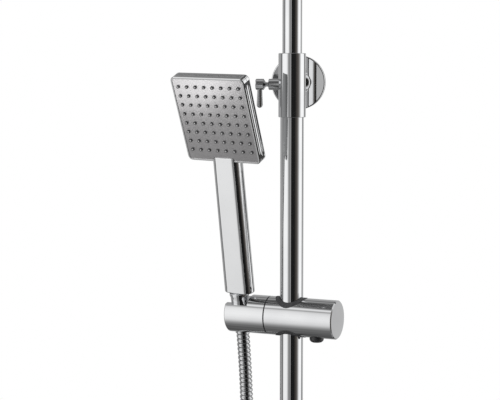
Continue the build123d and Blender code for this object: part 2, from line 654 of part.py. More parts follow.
def handle_bar(top, grow):
    # The handle narrows evenly from its foot to the head.
    share = (top - HANDLE_BOTTOM) / (HANDLE_TOP - HANDLE_BOTTOM)
    middle = (HANDLE_BACK - HANDLE_FRONT) / 2
    depth = HANDLE_FRONT + HANDLE_BACK + 2 * grow
    top_w = between(HANDLE_W, HANDLE_TOP_W, share)
    foot = Pos(0, middle, HANDLE_BOTTOM) * RectangleRounded(HANDLE_W + 2 * grow, depth, HANDLE_EDGE)
    end = Pos(0, middle, top) * RectangleRounded(top_w + 2 * grow, depth, HANDLE_EDGE)
    return loft([foot, end])


def handset():
    top = CONE_TOP + CONE_FLANGE_THICK
    head = Pos(0, HEAD_CENTRE_Y, HEAD_CENTRE_Z) * Rot(HEAD_TILT, 0, 0)
    slab = head_blank(0, HEAD_CORNER, 0, HEAD_THICK)
    slab = fillet(slab.faces().sort_by(Axis.Y)[-1].edges(), HEAD_BACK_EDGE)
    slab = chamfer(slab.faces().sort_by(Axis.Y)[0].edges(), HEAD_BEZEL_CHAMFER)
    parting_end = HEAD_PARTING + HEAD_PARTING_WIDTH
    groove = head_blank(-OVERCUT, HEAD_CORNER + OVERCUT, HEAD_PARTING, parting_end)
    groove_corner = HEAD_CORNER - HEAD_PARTING_DEPTH
    groove -= head_blank(HEAD_PARTING_DEPTH, groove_corner, HEAD_PARTING, parting_end)
    inner_corner = HEAD_CORNER - HEAD_BEZEL
    root_z = (HANDLE_NOSE_TOP - 2 * HANDLE_END_EDGE, HANDLE_TOP)
    root = handle_bar(HANDLE_TOP, 0) & block((-HANDLE_W, HANDLE_W), (-HANDLE_W, HANDLE_W), root_z)
    shell = root + head * (slab - groove)
    shell -= head * head_blank(HEAD_BEZEL, inner_corner, -HEAD_THICK, HEAD_CAVITY)
    nose = handle_bar(HANDLE_NOSE_TOP, 0)
    shell += fillet(nose.faces().filter_by(Axis.Z).edges(), HANDLE_END_EDGE)
    waterway_top = HEAD_CENTRE_Z - HEAD_DOWN + 2 * WATERWAY_D
    shell -= rod(WATERWAY_D, HANDLE_BOTTOM, waterway_top)
    shell -= rod(SPIGOT_D + 2 * PRESS, HANDLE_BOTTOM, SPIGOT_TOP)
    plate_back = PLATE_RECESS + PLATE_THICK
    plate = head * head_blank(HEAD_BEZEL + PRESS, inner_corner, PLATE_RECESS, plate_back)
    plate -= handle_bar(HANDLE_NOSE_TOP + PRESS, PRESS)
    nub = Pos(0, PLATE_RECESS - PRESS, 0) * OUT * taper(NOZZLE_D, NOZZLE_TIP_D, 0, NOZZLE_HEIGHT)
    middle = (NOZZLE_ROWS - 1) / 2
    nubs = []
    for row in range(NOZZLE_ROWS):
        for column in range(NOZZLE_ROWS):
            x = (column - middle) * NOZZLE_PITCH
            z = (row - middle) * NOZZLE_PITCH
            nubs.append(head * Pos(x, 0, z) * nub)
    thread_floor = top - CONE_THREAD_DEPTH
    spigot = rod(THREAD_THREE_EIGHTHS_D, thread_floor + SLIP, HANDLE_BOTTOM - PRESS)
    spigot += rod(SPIGOT_D, HANDLE_BOTTOM - PRESS, SPIGOT_TOP - PRESS)
    spigot -= rod(SPIGOT_BORE_D, thread_floor, SPIGOT_TOP)
    parts = {
        "handset_shell": shell,
        "spray_plate": plate,
        "spray_nozzles": Compound(nubs),
        "handset_spigot": spigot,
    }
    return {name: HANDSET * shape for name, shape in parts.items()}


def diverter():
    outlet_low = OUTLET_Z - OUTLET_LEG
    thread_low = outlet_low - OUTLET_THREAD
    seal_z = RISER_BOTTOM + SEAL_RING_UP
    seal_half = SEAL_RING_D / 2
    groove = ring(RISER_D + 2 * SEAL_RING_D, RISER_D, seal_z - seal_half, seal_z + seal_half)
    body = rod(DIV_D, DIV_BOTTOM, DIV_TOP)
    body = chamfer(outer_rim(body, DIV_BOTTOM), DIV_CHAMFER)
    valve = Pos(0, 0, VALVE_Z) * OUT
    body += valve * rod(VALVE_BOSS_D, 0, VALVE_BOSS_END)
    body += Pos(0, 0, OUTLET_Z) * TO_RIGHT * rod(OUTLET_D, 0, OUTLET_BOSS_END)
    pipe_low = DIV_BOTTOM - TAIL_PIPE_LENGTH
    body += rod(TAIL_PIPE_D, pipe_low, DIV_BOTTOM)
    body += rod(TAIL_FLANGE_D, pipe_low, pipe_low + TAIL_FLANGE_THICK)
    body -= rod(RISER_D + 2 * PRESS, RISER_BOTTOM - PRESS, DIV_TOP) + groove
    body -= rod(TAIL_PIPE_BORE_D, pipe_low, DIV_BOTTOM)
    body -= rod(WATER_D, DIV_BOTTOM, RISER_BOTTOM)
    body -= valve * rod(CARTRIDGE_D + 2 * PRESS, 0, VALVE_BOSS_END)
    body -= Pos(0, 0, OUTLET_Z) * TO_RIGHT * rod(OUTLET_BORE_D, 0, OUTLET_BOSS_END)
    nut = rod(RISER_NUT_D, DIV_TOP + PRESS, DIV_TOP + RISER_NUT_LENGTH)
    nut = chamfer(outer_rim(nut, DIV_TOP + RISER_NUT_LENGTH), DIV_CHAMFER)
    nut -= rod(RISER_D + 2 * PRESS, DIV_TOP, DIV_TOP + RISER_NUT_LENGTH)
    seal = Pos(0, 0, seal_z) * Torus((RISER_D + SEAL_RING_D) / 2, seal_half - SLIP)
    cartridge = ring(CARTRIDGE_D, SPINDLE_D + 2 * SLIP, WATER_D / 2, VALVE_BOSS_END)
    cover_end = VALVE_BOSS_END + CARTRIDGE_NUT_THICK
    cover = ring(CARTRIDGE_NUT_D, SPINDLE_D + 2 * CLEAR, VALVE_BOSS_END + PRESS, cover_end)
    cover = chamfer(outer_rim(cover, cover_end), CARTRIDGE_NUT_CHAMFER)
    elbow = rod(OUTLET_D, OUTLET_BOSS_END + PRESS, OUTLET_X)
    elbow = TO_RIGHT * elbow + Pos(OUTLET_X, 0, 0) * Sphere(OUTLET_D / 2)
    down = Pos(OUTLET_X, 0, -OUTLET_Z)
    elbow += down * rod(OUTLET_D, outlet_low, OUTLET_Z)
    elbow += down * rod(THREAD_HALF_INCH_D, thread_low, outlet_low)
    elbow -= TO_RIGHT * rod(OUTLET_BORE_D, OUTLET_BOSS_END, OUTLET_X)
    elbow -= down * rod(OUTLET_BORE_D, thread_low, OUTLET_Z)
    parts = {
        "diverter_body": body,
        "riser_nut": nut,
        "riser_seal": seal,
        "diverter_cartridge": valve * cartridge,
        "cartridge_nut": valve * cover,
        "hose_outlet": Pos(0, 0, OUTLET_Z) * elbow,
    }
    parts.update(hose_foot(outlet_low, thread_low))
    parts.update(knob(valve))
    parts.update(inlet_union(pipe_low))
    return {name: COLUMN * shape for name, shape in parts.items()}


def hose_foot(outlet_low, thread_low):
    nut_top = outlet_low - CLEAR
    nut_low = nut_top - HOSE_NUT_LENGTH
    cone_top = nut_low + HOSE_NUT_CONE
    corner_d = HOSE_NUT_D * 2 / math.sqrt(3) + OVERCUT
    nut = hexagon(HOSE_NUT_D, nut_low, nut_top)
    nut &= taper(HOSE_NUT_D, corner_d, nut_low, cone_top) + rod(corner_d, cone_top, nut_top)
    nut -= rod(THREAD_HALF_INCH_D + 2 * PRESS, thread_low - WASHER_THICK - PRESS, nut_top)
    nut -= rod(HOSE_D + 2 * SLIP, nut_low, nut_top)
    washer_d = THREAD_HALF_INCH_D - 2 * WASHER_GAP
    washer = ring(washer_d, HOSE_BORE_D, thread_low - WASHER_THICK, thread_low - PRESS)
    down = Pos(OUTLET_X, 0, 0)
    return {"hose_foot_nut": down * nut, "hose_foot_washer": down * washer}


def knob(valve):
    end = KNOB_START + KNOB_LENGTH
    middle = KNOB_START + KNOB_LENGTH / 2
    spindle = rod(SPINDLE_D, SPINDLE_START, middle)
    grip = rod(KNOB_D, KNOB_START, end)
    grip = fillet([outer_rim(grip, KNOB_START), outer_rim(grip, end)], KNOB_EDGE)
    grip -= rod(SPINDLE_D + 2 * PRESS, KNOB_START, middle + PRESS)
    cross = Pos(0, 0, middle) * Rot(90, 0, 0)
    inside = KNOB_D / 4
    tip = KNOB_LEVER_REACH - KNOB_LEVER_D / 2
    lever = rod(KNOB_LEVER_D, inside, tip) + Pos(0, 0, tip) * Sphere(KNOB_LEVER_D / 2)
    grip -= cross * rod(KNOB_LEVER_D + 2 * PRESS, inside, KNOB_D)
    parts = {"diverter_spindle": spindle, "diverter_knob": grip, "knob_lever": cross * lever}
    return {name: valve * shape for name, shape in parts.items()}


def inlet_union(pipe_low):
    lip_low = pipe_low + TAIL_FLANGE_THICK + CLEAR
    low = lip_low + UNION_LIP - UNION_LENGTH
    nut = hexagon(UNION_D, low, lip_low + UNION_LIP)
    nut -= rod(TAIL_PIPE_D + 2 * CLEAR, lip_low, lip_low + UNION_LIP)
    nut -= rod(THREAD_THREE_QUARTER_D, low, lip_low)
    nut -= rod(THREAD_THREE_QUARTER_D + UNION_RELIEF, pipe_low - UNION_WASHER_THICK - CLEAR, lip_low)
    washer_d = TAIL_FLANGE_D - 2 * WASHER_GAP
    washer = ring(washer_d, UNION_WASHER_BORE_D, pipe_low - UNION_WASHER_THICK, pipe_low - PRESS)
    return {"inlet_union_nut": nut, "inlet_washer": washer}


def between(start, end, share):
    return start + (end - start) * share


def hose_points():
    # From the cone nut down its axis, then in a loop that hangs in front of the inlet, up into the outlet.
    start = (CONE_AXIS * Pos(0, 0, HOSE_TOP)).position
    leave = (CONE_AXIS * Pos(0, 0, HOSE_TOP - HOSE_STRAIGHT)).position
    end_z = OUTLET_Z - OUTLET_LEG - OUTLET_THREAD - WASHER_THICK
    step = LOOP_RADIUS * math.tan(math.radians(LOOP_CORNER / 2))
    left = LOOP_CENTRE_X - LOOP_RADIUS
    right = LOOP_CENTRE_X + LOOP_RADIUS
    low = LOOP_CENTRE_Z - LOOP_RADIUS
    turn_z = LOOP_CENTRE_Z - step
    back = -WALL_OFFSET
    front = -LOOP_FRONT
    points = [(start.X, start.Y, start.Z), (leave.X, leave.Y, leave.Z)]
    for down, across, out in HOSE_DESCENT:
        points.append((
            between(leave.X, left, across),
            between(leave.Y, front, out),
            between(leave.Z, turn_z, down),
        ))
    points += [
        (left, front, turn_z),
        (LOOP_CENTRE_X - step, front, low),
        (LOOP_CENTRE_X + step, front, low),
        (right, front, turn_z),
    ]
    for up, across, inward in HOSE_ASCENT:
        points.append((
            between(right, OUTLET_X, across),
            between(front, back, inward),
            between(turn_z, end_z, up),
        ))
    points.append((OUTLET_X, back, end_z))
    return points


def hose_path():
    points = [Vector(*p) for p in hose_points()]
    radii = []
    for before, at, after in zip(points, points[1:], points[2:]):
        turn = math.radians((at - before).get_angle(after - at))
        shorter = min((at - before).length, (after - at).length)
        radii.append(min(HOSE_BEND_SHARE * shorter / math.tan(turn / 2), HOSE_SOFTEST_BEND))
    print("hose bend radii", [round(r) for r in radii])
    return FilletPolyline(*points, radius=radii)


def hose():
    path = hose_path()
    length = path.length
    straight = HOSE_D
    pitch = (length - 2 * straight) / HOSE_RIBS
    groove_r = HOSE_D / 2 - HOSE_GROOVE
    stations = [(0, groove_r)]
    for i in range(HOSE_RIBS):
        s = straight + i * pitch
        for share, cut in RIB_PROFILE:
            stations.append((s + share * pitch, HOSE_D / 2 - cut * HOSE_GROOVE))
    stations.append((length, groove_r))
    steady = Vector(0, 1, 0)
    sections = []
    for s, radius in stations:
        heading = path.tangent_at(s / length)
        across = steady - heading * steady.dot(heading)
        plane = Plane(path.position_at(s / length), x_dir=across, z_dir=heading)
        sections.append(plane * Circle(radius))
    tube = loft(sections, ruled=True)
    start = Plane(path @ 0, x_dir=(1, 0, 0), z_dir=path % 0)
    tube -= sweep(start * Circle(HOSE_BORE_D / 2), path=path)
    print("hose length", round(length, 1), "volume", round(tube.volume))
    return {"shower_hose": tube}


def main():
    os.makedirs("parts", exist_ok=True)
    for group in (
        wall_bracket, collar, telescope_lock, riser, telescope, arm, rain_head,
        slider, holder, hose_cone, handset, diverter, hose,
    ):
        for name, shape in group().items():
            export_step(shape, f"parts/{name}.step")


if __name__ == "__main__":
    main()
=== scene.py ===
import json
import math

import bpy
import numpy as np
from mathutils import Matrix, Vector


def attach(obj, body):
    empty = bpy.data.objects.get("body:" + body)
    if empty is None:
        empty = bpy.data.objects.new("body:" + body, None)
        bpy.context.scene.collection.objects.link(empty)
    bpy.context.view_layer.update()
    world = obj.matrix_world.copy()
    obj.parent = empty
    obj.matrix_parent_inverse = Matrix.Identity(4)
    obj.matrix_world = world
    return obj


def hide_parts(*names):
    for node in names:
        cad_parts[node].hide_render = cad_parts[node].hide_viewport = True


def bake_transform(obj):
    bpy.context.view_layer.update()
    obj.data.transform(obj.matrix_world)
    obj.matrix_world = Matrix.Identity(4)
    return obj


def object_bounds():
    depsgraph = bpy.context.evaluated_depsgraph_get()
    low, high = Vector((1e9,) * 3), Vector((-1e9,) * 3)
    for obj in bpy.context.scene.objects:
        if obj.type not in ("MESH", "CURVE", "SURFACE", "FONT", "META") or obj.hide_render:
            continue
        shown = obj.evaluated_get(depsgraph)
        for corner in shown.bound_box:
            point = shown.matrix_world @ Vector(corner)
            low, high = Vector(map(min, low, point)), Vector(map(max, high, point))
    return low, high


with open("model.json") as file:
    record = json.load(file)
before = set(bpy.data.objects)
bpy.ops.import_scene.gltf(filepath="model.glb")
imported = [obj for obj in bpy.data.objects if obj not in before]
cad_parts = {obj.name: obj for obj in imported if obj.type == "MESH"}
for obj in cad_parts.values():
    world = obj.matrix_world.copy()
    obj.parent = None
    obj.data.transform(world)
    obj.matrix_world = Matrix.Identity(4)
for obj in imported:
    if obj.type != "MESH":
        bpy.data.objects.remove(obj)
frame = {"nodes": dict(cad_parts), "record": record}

cad_low, cad_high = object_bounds()
nodes = frame["nodes"]
scene = bpy.context.scene
scene.view_settings.view_transform = "Standard"

# Lengths are in metres, and angles in degrees.

# Camera: the photograph's view, from the right of the column and a little above
VIEW_AZIMUTH = 8.87
VIEW_PITCH = 5.255
CAMERA_PLACE = (0.1782, -1.4784, 0.0117)
FOCAL_PIXELS = 1399.6
IMAGE_WIDTH = 500
SENSOR_MM = 36.0
NEAR_CLIP = 0.05

# Materials: the part of a noise's range that is used, its fineness, and the height of the grain
NOISE_LOW = 0.3
NOISE_HIGH = 0.7
DRIFT_DETAIL = 4.0
GRAIN_DETAIL = 3.0
GRAIN_HEIGHT = 0.0002

# Hose: its ribs, and the route of the part's source
HOSE_RADIUS = 0.007
HOSE_PITCH = 0.0049
HOSE_GROOVE = 0.0014
HOSE_SIDES = 32
STEPS_PER_RIB = 8
LINE_RESOLUTION = 48
HEADING_STEP = 0.002
HOSE_ROUTE = [
    (-0.05549, -0.04485, -0.23317),
    (-0.05091, -0.02778, -0.31632),
    (-0.05297, -0.02313, -0.43094),
    (-0.05913, -0.03477, -0.58378),
    (-0.07351, -0.05456, -0.72388),
    (-0.08707, -0.07436, -0.84488),
    (-0.09200, -0.08600, -0.95314),
    (-0.04514, -0.08600, -1.00000),
    (0.02114, -0.08600, -1.00000),
    (0.06800, -0.08600, -0.95314),
    (0.06492, -0.07200, -0.83548),
    (0.04600, -0.05800, -0.73548),
    (0.04600, -0.05800, -0.65900),
]

# One turn of the hose's strip: where its band starts, the band's share, and how flat its crown is
BAND_START = 0.10
BAND_SHARE = 0.84
BAND_FLATNESS = 0.55

# Hose stretches: lengths along the hose at which they end, and the height at which the left leg turns
# into the loop
TOP_END = 0.092
HOLDER_END = 0.180
SLIDER_END = 0.330
TURN_HEIGHT = -0.94

# Hand shower head: middle of its front, the ways to its back, right and top, and its sizes
HEAD_MIDDLE = np.array([-0.072465, -0.100584, -0.036585])
HEAD_TO_BACK = np.array([0.34883, 0.84197, 0.41159])
HEAD_TO_RIGHT = np.array([0.92787, -0.37203, -0.02534])
HEAD_TO_TOP = np.array([-0.13179, -0.39074, 0.91102])
HEAD_HALF_WIDTH = 0.043
HEAD_UP = 0.0455
HEAD_DOWN = 0.0479

# Moulding on the head's sides, rib by rib from the front: depth behind the front, and slope outwards
# at that depth; then how deep its edge and its foot are sunk in the shell, the length over which its
# ends fade out, and the angle from which an edge is sharp
RIBS = [
    [(0.0010, 0.30), (0.0021, 0.00), (0.0037, -0.075)],
    [(0.0038, 0.30), (0.0057, 0.00), (0.0072, -0.075)],
    [(0.0073, 0.30), (0.0083, 0.00), (0.0109, -0.075), (0.0110, -0.60), (0.0112, -1.40)],
]
RIB_STEPS = 8
RIB_ROWS = 48
RIB_SUNK = 0.0001
RIB_FOOT = 0.0004
RIB_FADE = 0.009
RIB_SHARP = 30

# Nozzles: radii, distance that surely holds one nub and no other, and sides of a nub
SPRAY_RADII = {"foot": 0.0019, "tip": 0.0015}
RAIN_RADII = {"foot": 0.0018, "tip": 0.00135}
NOZZLE_REACH = 0.0045
NOZZLE_SIDES = 20

# Outlines of a nub with its hole, and of the pale insert in the hole, which is a painted highlight:
# which radius counts, how many times, and at what share of the nub's height
NUB_OUTLINE = [
    ("foot", 1.0, 0.0), ("foot", 0.97, 0.2), ("tip", 1.08, 0.72), ("tip", 1.0, 0.92),
    ("tip", 0.92, 1.0), ("tip", 0.78, 1.0), ("tip", 0.70, 0.9), ("tip", 0.66, 0.3),
]
PAINTED_HIGHLIGHT_OUTLINE = [("tip", 0.68, 0.2), ("tip", 0.68, 0.82), ("tip", 0.55, 0.88)]

# Studio that metal mirrors: brightness or colour by the turn about the column, where 0 is the front,
# 90 the right and 180 the wall's side; brightness by the height over the horizon; and how far an even
# grey takes the place of the first, by the same height
STUDIO_AROUND = [
    (-180, 0.37), (-150, 0.35), (-122, 0.34), (-104, 0.33), (-95, 0.14), (-88, 0.16),
    (-78, 0.94), (-48, 0.96), (-36, 0.86), (-26, 0.33), (-14, 0.25), (-9.4, 0.10),
    (-8.2, 0.12), (-7, 0.44), (-4, 0.44), (0, 0.012), (34, 0.012), (42, (0.04, 0.036, 0.033)),
    (58, (0.085, 0.078, 0.072)), (68, (0.2, 0.19, 0.18)), (78, 0.5), (88, 1.0), (123, 1.0),
    (127, 0.05), (134, 0.04), (139, 0.5), (156, 0.46), (168, 0.38), (180, 0.37),
]
STUDIO_UP = [
    (-90, 0.22), (-75, 0.16), (-58, 0.16), (-48, 0.27), (-41, 0.42), (-34, 0.62), (-27, 0.78),
    (-20, 0.86), (-8, 0.96), (4, 1.0), (16, 0.97), (29, 0.88), (36, 0.77), (41, 0.62), (43, 0.36),
    (46, 0.42), (50, 0.78), (55, 0.80), (59, 0.34), (63, 0.14), (68, 0.12), (73, 0.34), (80, 0.50),
    (90, 0.60),
]
STUDIO_POLES = [(-90, 1.0), (-75, 1.0), (-50, 0.0), (52, 0.0), (76, 1.0), (90, 1.0)]
POLE_GREY = 0.8
STUDIO_STRENGTH = 1.25
SOFT_STRENGTH = 0.6

# Floor: a disc under the hose's loop
FLOOR_REACH = 3.0
FLOOR_SIDES = 96
FLOOR_BELOW = 0.2


# Materials

def link(tree, out_node, out_name, in_node, in_name):
    tree.links.new(out_node.outputs[out_name], in_node.inputs[in_name])


def surface(name, dark, pale, rough, metallic, blotch, grain, bump):
    # The colour drifts over the surface, and a fine grain gives roughness and relief.
    made = bpy.data.materials.new(name)
    made.use_nodes = True
    tree = made.node_tree
    shader = tree.nodes["Principled BSDF"]
    shader.inputs["Metallic"].default_value = metallic
    place = tree.nodes.new("ShaderNodeTexCoord")
    drift = tree.nodes.new("ShaderNodeTexNoise")
    drift.inputs["Scale"].default_value = blotch
    drift.inputs["Detail"].default_value = DRIFT_DETAIL
    link(tree, place, "Object", drift, "Vector")
    tint = tree.nodes.new("ShaderNodeValToRGB")
    for stop, at, colour in zip(tint.color_ramp.elements, (NOISE_LOW, NOISE_HIGH), (dark, pale)):
        stop.position = at
        stop.color = (*colour, 1)
    link(tree, drift, "Fac", tint, "Fac")
    link(tree, tint, "Color", shader, "Base Color")
    fine = tree.nodes.new("ShaderNodeTexNoise")
    fine.inputs["Scale"].default_value = grain
    fine.inputs["Detail"].default_value = GRAIN_DETAIL
    link(tree, place, "Object", fine, "Vector")
    spread = tree.nodes.new("ShaderNodeMapRange")
    spread.inputs["From Min"].default_value = NOISE_LOW
    spread.inputs["From Max"].default_value = NOISE_HIGH
    spread.inputs["To Min"].default_value = rough[0]
    spread.inputs["To Max"].default_value = rough[1]
    link(tree, fine, "Fac", spread, "Value")
    link(tree, spread, "Result", shader, "Roughness")
    relief = tree.nodes.new("ShaderNodeBump")
    relief.inputs["Strength"].default_value = bump
    relief.inputs["Distance"].default_value = GRAIN_HEIGHT
    link(tree, fine, "Fac", relief, "Height")
    link(tree, relief, "Normal", shader, "Normal")
    return made


MATERIALS = {
    "chrome": surface(
        "chrome_plate", dark=(0.72, 0.725, 0.735), pale=(0.78, 0.785, 0.79), rough=(0.02, 0.05),
        metallic=1, blotch=30, grain=220, bump=0.003,
    ),
    "chromed_plastic": surface(
        "chromed_moulding", dark=(0.73, 0.735, 0.74), pale=(0.78, 0.785, 0.79), rough=(0.03, 0.07),
        metallic=1, blotch=22, grain=90, bump=0.02,
    ),
    "hose_metal": surface(
        "hose_strip", dark=(0.54, 0.545, 0.55), pale=(0.62, 0.625, 0.63), rough=(0.05, 0.12),
        metallic=1, blotch=60, grain=500, bump=0.02,
    ),
    "polished_steel": surface(
        "polished_steel", dark=(0.56, 0.56, 0.56), pale=(0.64, 0.64, 0.64), rough=(0.06, 0.12),
        metallic=1, blotch=60, grain=600, bump=0.02,
    ),
    "satin_steel": surface(
        "satin_steel", dark=(0.50, 0.50, 0.51), pale=(0.58, 0.58, 0.58), rough=(0.22, 0.34),
        metallic=1, blotch=60, grain=1500, bump=0.1,
    ),
    "satin_plate": surface(
        "satin_plate", dark=(0.37, 0.363, 0.367), pale=(0.43, 0.423, 0.427), rough=(0.30, 0.40),
        metallic=0.85, blotch=35, grain=3200, bump=0.16,
    ),
    "nozzle_rubber": surface(
        "nozzle_rubber", dark=(0.038, 0.038, 0.04), pale=(0.07, 0.07, 0.073), rough=(0.28, 0.4),
        metallic=0, blotch=400, grain=2500, bump=0.1,
    ),
    "gasket_rubber": surface(
        "gasket_rubber", dark=(0.035, 0.035, 0.037), pale=(0.06, 0.06, 0.063), rough=(0.42, 0.6),
        metallic=0, blotch=200, grain=2500, bump=0.12,
    ),
    "black_button": surface(
        "black_button", dark=(0.012, 0.012, 0.013), pale=(0.03, 0.03, 0.032), rough=(0.24, 0.34),
        metallic=0, blotch=200, grain=1800, bump=0.05,
    ),
    "seal_rubber": surface(
        "seal_rubber", dark=(0.018, 0.018, 0.018), pale=(0.035, 0.035, 0.035), rough=(0.5, 0.65),
        metallic=0, blotch=200, grain=2200, bump=0.12,
    ),
    "nylon": surface(
        "nylon", dark=(0.62, 0.61, 0.57), pale=(0.70, 0.69, 0.65), rough=(0.38, 0.5),
        metallic=0, blotch=120, grain=1800, bump=0.06,
    ),
    "brass": surface(
        "brass", dark=(0.62, 0.45, 0.17), pale=(0.72, 0.54, 0.24), rough=(0.18, 0.3),
        metallic=1, blotch=90, grain=1200, bump=0.05,
    ),
    "steel": surface(
        "zinc_steel", dark=(0.46, 0.46, 0.46), pale=(0.55, 0.55, 0.55), rough=(0.26, 0.4),
        metallic=1, blotch=90, grain=1500, bump=0.08,
    ),
}
# Pale insert in each nozzle hole: its pale colour is a painted highlight.
PAINTED_HIGHLIGHT_MATERIAL = surface(
    "nozzle_painted_highlight", dark=(0.48, 0.48, 0.48), pale=(0.56, 0.56, 0.56), rough=(0.2, 0.3),
    metallic=0, blotch=400, grain=2500, bump=0.05,
)

slot_of = {row["node"]: row["material_slot"] for row in frame["record"]["subparts"]}
for name, node in nodes.items():
    node.data.materials.clear()
    node.data.materials.append(MATERIALS[slot_of[name]])


# Meshes

def ring_angles(sides):
    return np.arange(sides) * 2 * math.pi / sides


def closed_tube(first, rings, sides):
    # Faces over rings of points that follow each other from the given first point, with both ends shut.
    faces = []
    for i in range(rings - 1):
        a, b = first + i * sides, first + (i + 1) * sides
        for j in range(sides):
            k = (j + 1) % sides
            faces.append((a + j, a + k, b + k, b + j))
    last = first + (rings - 1) * sides
    faces.append(tuple(range(first, first + sides))[::-1])
    faces.append(tuple(range(last, last + sides)))
    return faces


def new_piece(name, verts, faces, material):
    mesh = bpy.data.meshes.new(name)
    mesh.from_pydata(verts, [], faces)
    mesh.materials.append(material)
    mesh.polygons.foreach_set("use_smooth", [True] * len(mesh.polygons))
    piece = bpy.data.objects.new(name, mesh)
    scene.collection.objects.link(piece)
    return piece


# Hose

def spline_points(route):
    # Points along the smooth line that has the route's points as its control points.
    curve = bpy.data.curves.new("hose_line", "CURVE")
    curve.dimensions = "3D"
    curve.resolution_u = LINE_RESOLUTION
    spline = curve.splines.new("NURBS")
    spline.points.add(len(route) - 1)
    for point, place in zip(spline.points, route):
        point.co = (*place, 1)
    spline.order_u = 3
    spline.use_endpoint_u = True
    holder = bpy.data.objects.new("hose_line", curve)
    scene.collection.objects.link(holder)
    bpy.context.view_layer.update()
    line = bpy.data.meshes.new_from_object(holder)
    points = np.array([v.co for v in line.vertices])
    bpy.data.objects.remove(holder)
    bpy.data.curves.remove(curve)
    bpy.data.meshes.remove(line)
    return points


def along(points):
    steps = np.linalg.norm(np.diff(points, axis=0), axis=1)
    return np.concatenate([[0], np.cumsum(steps)])


def rib_height(turns):
    # A strip wound edge over edge: a flat crowned band and one narrow groove to each turn.
    share = turns - np.floor(turns)
    in_band = np.clip((share - BAND_START) / BAND_SHARE, 0, 1)
    crown = np.sin(in_band * math.pi) ** BAND_FLATNESS
    return HOSE_GROOVE * (crown - 1)


def hose_stretch(name, line, start, end):
    distance = along(line)

    def at(lengths):
        return np.stack([np.interp(lengths, distance, line[:, k]) for k in range(3)], 1)

    count = max(2, int(round((end - start) / HOSE_PITCH * STEPS_PER_RIB)))
    stations = np.linspace(start, end, count + 1)
    centre = at(stations)
    heading = at(stations + HEADING_STEP) - at(stations - HEADING_STEP)
    heading /= np.linalg.norm(heading, axis=1)[:, None]
    steady = np.array([0.0, 1.0, 0.0])
    across = steady - heading * (heading @ steady)[:, None]
    across /= np.linalg.norm(across, axis=1)[:, None]
    other = np.cross(heading, across)
    angles = ring_angles(HOSE_SIDES)
    turns = stations[:, None] / HOSE_PITCH + angles[None, :] / (2 * math.pi)
    radius = (HOSE_RADIUS + rib_height(turns))[:, :, None]
    cosine, sine = np.cos(angles)[None, :, None], np.sin(angles)[None, :, None]
    ring = across[:, None, :] * cosine + other[:, None, :] * sine
    verts = (centre[:, None, :] + radius * ring).reshape(-1, 3)
    faces = closed_tube(0, count + 1, HOSE_SIDES)
    piece = new_piece(name, verts.tolist(), faces, MATERIALS["hose_metal"])
    return piece, centre


hose_line = spline_points(HOSE_ROUTE)
hose_along = along(hose_line)
hose_length = hose_along[-1]
on_right = hose_line[:, 0] > 0
turn_at = hose_along[np.argmin(np.abs(hose_line[:, 2] - TURN_HEIGHT) + on_right)]

# Name, start, end, the bodies at both ends, and the fittings on it
STRETCHES = [
    ("hose_top", 0.0, TOP_END, "hose_cone", "holder", ["hose_cone_nut", "hose_top_washer"]),
    ("hose_below_holder", TOP_END, HOLDER_END, "holder", "slider", []),
    ("hose_below_slider", HOLDER_END, SLIDER_END, "slider", "slider_liner", []),
    ("hose_left_leg", SLIDER_END, turn_at, "slider_liner", "column", []),
    ("hose_loop", turn_at, hose_length, "slider_liner", "column", ["hose_foot_nut", "hose_foot_washer"]),
]

for name, start, end, upper, lower, fittings in STRETCHES:
    piece, centre = hose_stretch(name, hose_line, start, end)
    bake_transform(piece)
    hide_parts("shower_hose")


# Moulded ribs on the head's sides

def rib_outline(slopes):
    # Depths and heights of a rib whose slope goes evenly from each given value to the next.
    depths, heights = [slopes[0][0]], [0.0]
    for (from_depth, from_slope), (to_depth, to_slope) in zip(slopes, slopes[1:]):
        for i in range(RIB_STEPS):
            share = (i + 0.5) / RIB_STEPS
            step = (to_depth - from_depth) / RIB_STEPS
            depths.append(depths[-1] + step)
            heights.append(heights[-1] + step * (from_slope + share * (to_slope - from_slope)))
    return depths, heights


def side_moulding(name, way):
    outlines = [rib_outline(rib) for rib in RIBS]
    depths = np.concatenate([depths for depths, _ in outlines])
    heights = np.concatenate([heights for _, heights in outlines])
    foot = HEAD_HALF_WIDTH - RIB_FOOT
    rows = np.linspace(-HEAD_DOWN + RIB_FADE / 2, HEAD_UP - RIB_FADE / 2, RIB_ROWS)
    to_side = way * HEAD_TO_RIGHT
    verts = []
    for row in rows:
        near_end = min(row - rows[0], rows[-1] - row) / RIB_FADE
        fade = math.sin(min(near_end, 1.0) * math.pi / 2) ** 2
        middle = HEAD_MIDDLE + HEAD_TO_TOP * row
        outer = HEAD_HALF_WIDTH - RIB_SUNK + fade * np.maximum(heights, 0)
        section = list(zip(outer, depths)) + [(foot, depths[-1]), (foot, depths[0])]
        verts.extend((middle + to_side * o + HEAD_TO_BACK * d).tolist() for o, d in section)
    faces = closed_tube(0, RIB_ROWS, len(depths) + 2)
    if way < 0:
        faces = [face[::-1] for face in faces]
    piece = new_piece(name, verts, faces, MATERIALS["chromed_plastic"])
    piece.data.set_sharp_from_angle(angle=math.radians(RIB_SHARP))
    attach(piece, "handset")


side_moulding("handset_ribs_right", 1)
side_moulding("handset_ribs_left", -1)


# Brake spring: a copy of the part's mesh takes the part's place

def make_spring():
    coil = bpy.data.objects.new("brake_spring_coil", nodes["brake_spring"].data.copy())
    scene.collection.objects.link(coil)
    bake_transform(coil)
    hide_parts("brake_spring")


make_spring()


# Nozzles

